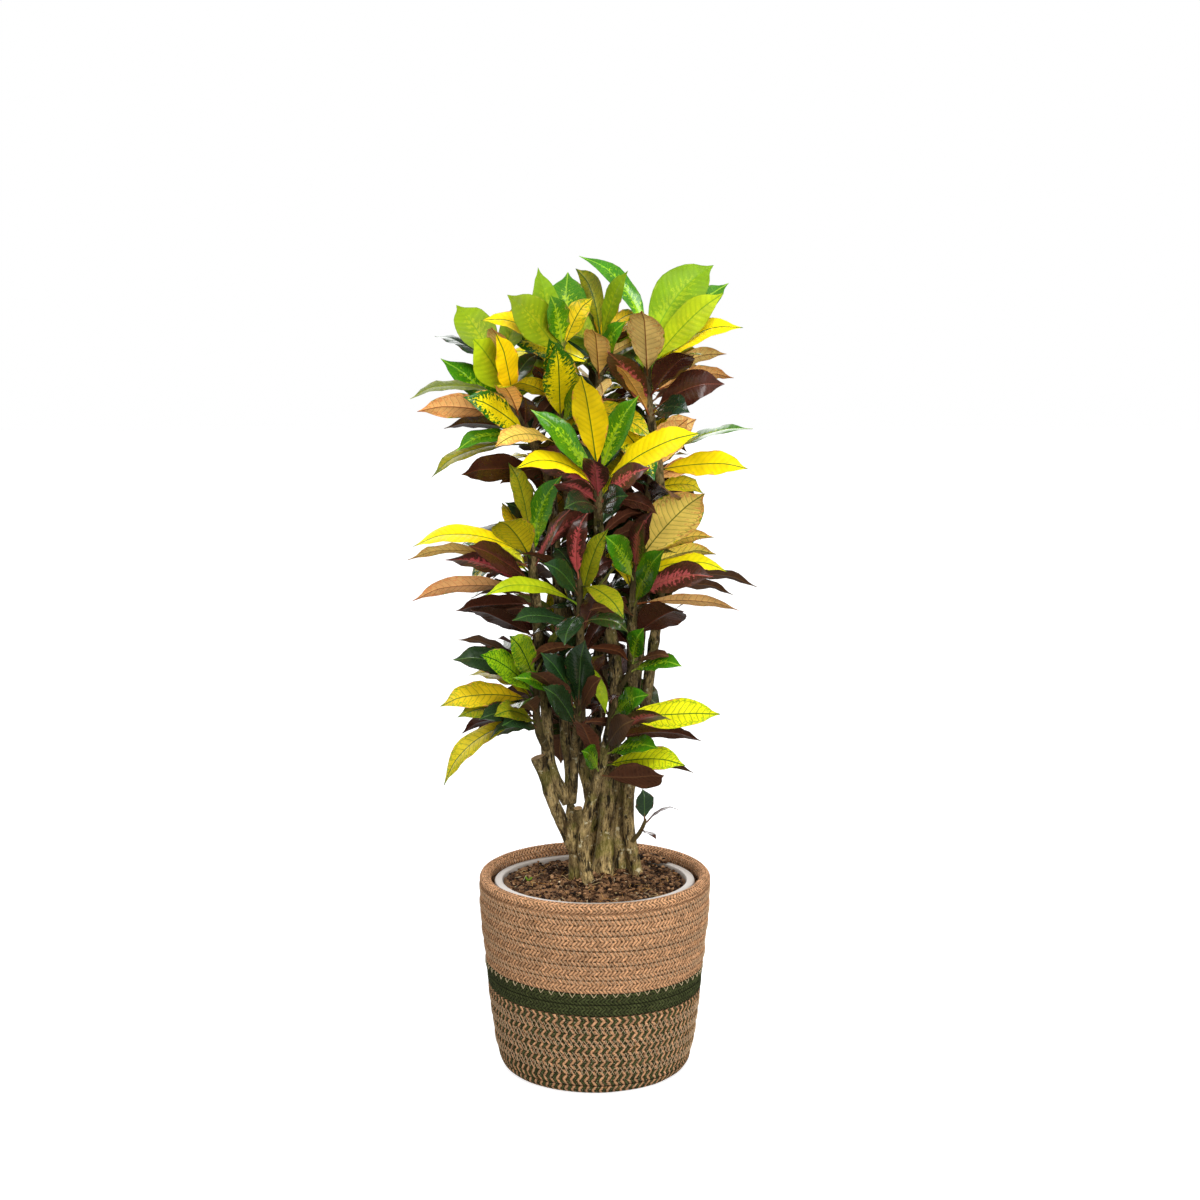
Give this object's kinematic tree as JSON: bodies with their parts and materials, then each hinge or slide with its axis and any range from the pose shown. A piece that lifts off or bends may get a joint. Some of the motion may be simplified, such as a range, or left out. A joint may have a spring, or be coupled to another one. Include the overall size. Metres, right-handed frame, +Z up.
{
  "type": "potted croton plant",
  "caption": "Bushy variegated croton house plant in a grey nursery pot, standing in a tapered basket of braided natural and dark green fibre.",
  "frame": {"origin": "middle of the basket's flat underside, on the surface that it stands on", "axes": "+Z up along the plant, -Y towards the viewer of the picture, +X to that viewer's right"},
  "size_m": [0.4458, 0.3823, 1.0529],
  "materials": {
    "basket_natural_rows": "matte plant fibre braid",
    "basket_green_rows": "matte dyed plant fibre braid",
    "basket_two_tone_rows": "matte plant fibre braid, natural and dyed",
    "nursery_pot": "satin",
    "soil": "matte, crumbly",
    "stem_left": "matte bark with glossy variegated leaves",
    "stem_front": "matte bark with glossy variegated leaves",
    "stem_centre": "matte bark with glossy variegated leaves",
    "stem_right": "matte bark with glossy variegated leaves",
    "stem_far_right": "matte bark with glossy variegated leaves",
    "stem_back_left": "matte bark with glossy variegated leaves",
    "stem_back_right": "matte bark with glossy variegated leaves"
  },
  "bodies": {
    "root": {"basket_natural_rows": "basket_natural_rows", "basket_green_rows": "basket_green_rows", "basket_two_tone_rows": "basket_two_tone_rows", "nursery_pot": "nursery_pot", "soil": "soil", "stem_left": "stem_left", "stem_front": "stem_front", "stem_centre": "stem_centre", "stem_right": "stem_right", "stem_far_right": "stem_far_right", "stem_back_left": "stem_back_left", "stem_back_right": "stem_back_right"}
  },
  "joints": []
}
